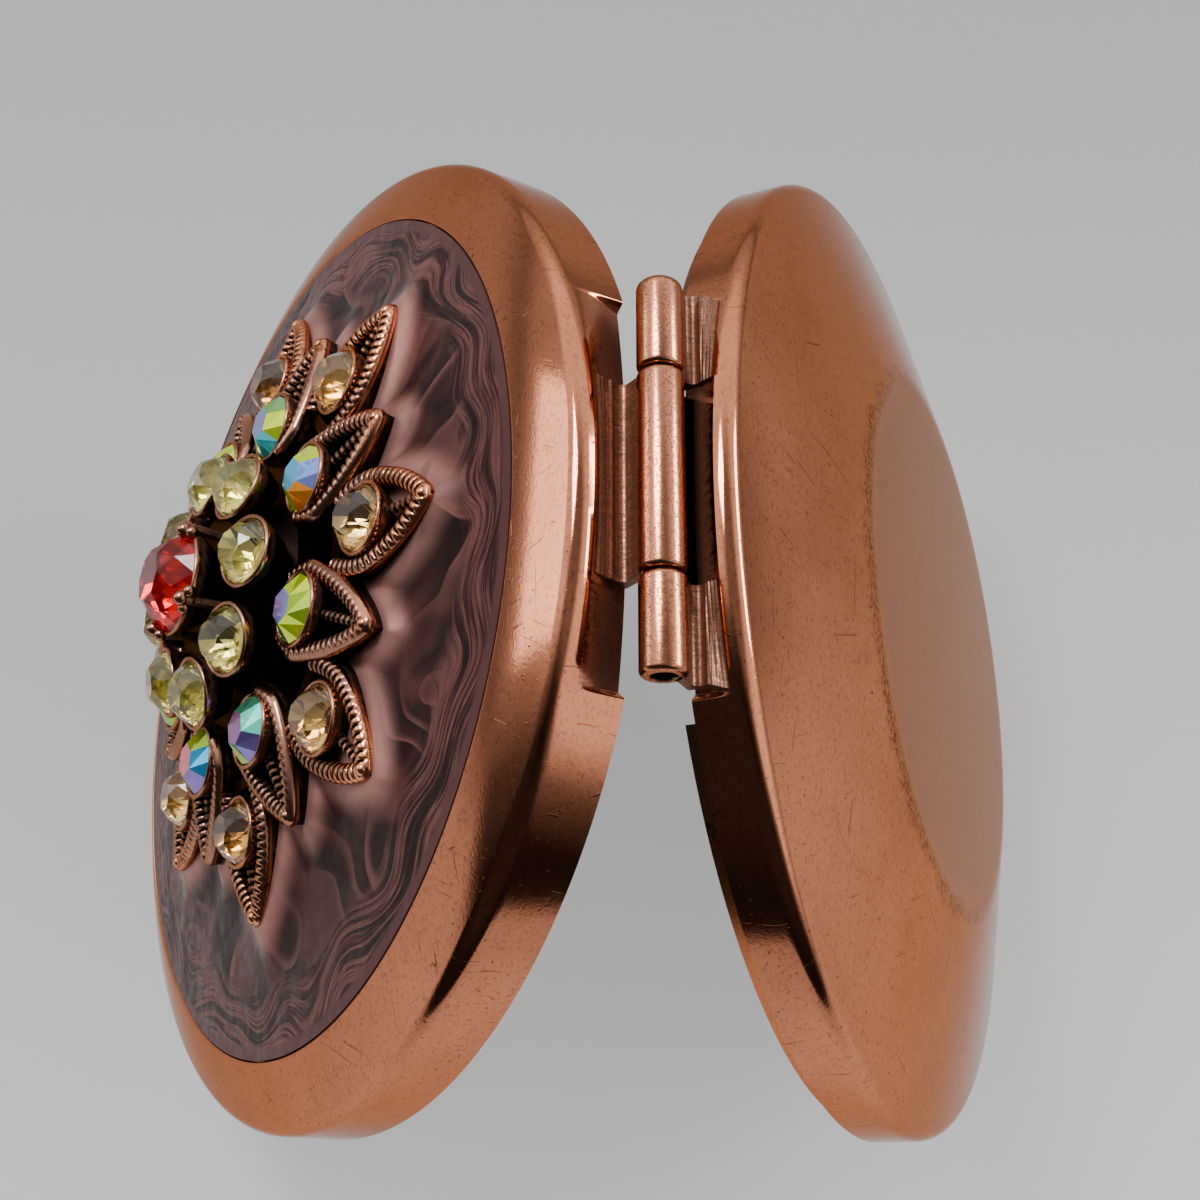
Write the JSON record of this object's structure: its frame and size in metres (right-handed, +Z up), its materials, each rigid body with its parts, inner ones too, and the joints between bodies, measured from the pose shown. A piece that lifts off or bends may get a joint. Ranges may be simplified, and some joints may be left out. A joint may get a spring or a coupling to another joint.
{
  "type": "compact mirror",
  "caption": "Round hinged compact mirror in copper finish with a jewelled flower on a marbled enamel lid, a mirror in each half and a push button latch.",
  "frame": {"origin": "on the surface that the open case stands on, under the middle of its outline", "axes": "+Z up; Y along the hinge; the lid leans to -X and the base to +X"},
  "size_m": [0.0668, 0.062, 0.0565],
  "materials": {
    "case_copper": "copper plated, polished and worn",
    "frame_copper": "copper plated, satin",
    "cast_copper": "antique copper with dark recesses",
    "steel": "drawn wire and spring strip",
    "enamel": "glossy marbled pearl resin",
    "mirror_glass": "silvered glass",
    "card": "pressed card",
    "champagne_glass": "cut and foiled",
    "aurora_glass": "cut, foiled and iridescent",
    "yellow_glass": "cut and foiled",
    "red_glass": "cut and foiled"
  },
  "bodies": {
    "base": {"base_shell": "case_copper", "base_frame": "frame_copper", "base_mirror": "mirror_glass", "base_pad": "card", "base_hinge_leaf_far": "case_copper", "base_hinge_leaf_near": "case_copper", "hinge_pin": "steel", "latch_spring": "steel", "latch_keeper": "frame_copper"},
    "lid": {"lid_shell": "case_copper", "enamel_panel": "enamel", "lid_frame": "frame_copper", "lid_mirror": "mirror_glass", "lid_pad": "card", "lid_hinge_leaf": "case_copper", "lid_catch": "frame_copper", "outer_petals": "cast_copper", "inner_petals": "cast_copper", "cup_cluster": "cast_copper", "centre_setting": "cast_copper", "champagne_stone_1": "champagne_glass", "champagne_stone_2": "champagne_glass", "champagne_stone_3": "champagne_glass", "champagne_stone_4": "champagne_glass", "champagne_stone_5": "champagne_glass", "champagne_stone_6": "champagne_glass", "champagne_stone_7": "champagne_glass", "champagne_stone_8": "champagne_glass", "aurora_stone_1": "aurora_glass", "aurora_stone_2": "aurora_glass", "aurora_stone_3": "aurora_glass", "aurora_stone_4": "aurora_glass", "aurora_stone_5": "aurora_glass", "aurora_stone_6": "aurora_glass", "aurora_stone_7": "aurora_glass", "aurora_stone_8": "aurora_glass", "yellow_stone_1": "yellow_glass", "yellow_stone_2": "yellow_glass", "yellow_stone_3": "yellow_glass", "yellow_stone_4": "yellow_glass", "yellow_stone_5": "yellow_glass", "yellow_stone_6": "yellow_glass", "yellow_stone_7": "yellow_glass", "yellow_stone_8": "yellow_glass", "centre_stone": "red_glass"},
    "button": {"latch_button": "case_copper"}
  },
  "joints": [
    {"name": "lid_hinge", "type": "hinge", "parent": "base", "child": "lid", "pos_m": [0.00042, 0, 0.05527], "axis": [0, 1, 0], "range_deg": [-57, 123]},
    {"name": "button_press", "type": "slide", "parent": "base", "child": "button", "axis": [-0.4772, 0, 0.8788], "range_m": [0, 0.0008], "stiffness_N_per_m": 1500, "springref_m": -0.0007, "deforming": ["latch_spring"]}
  ]
}
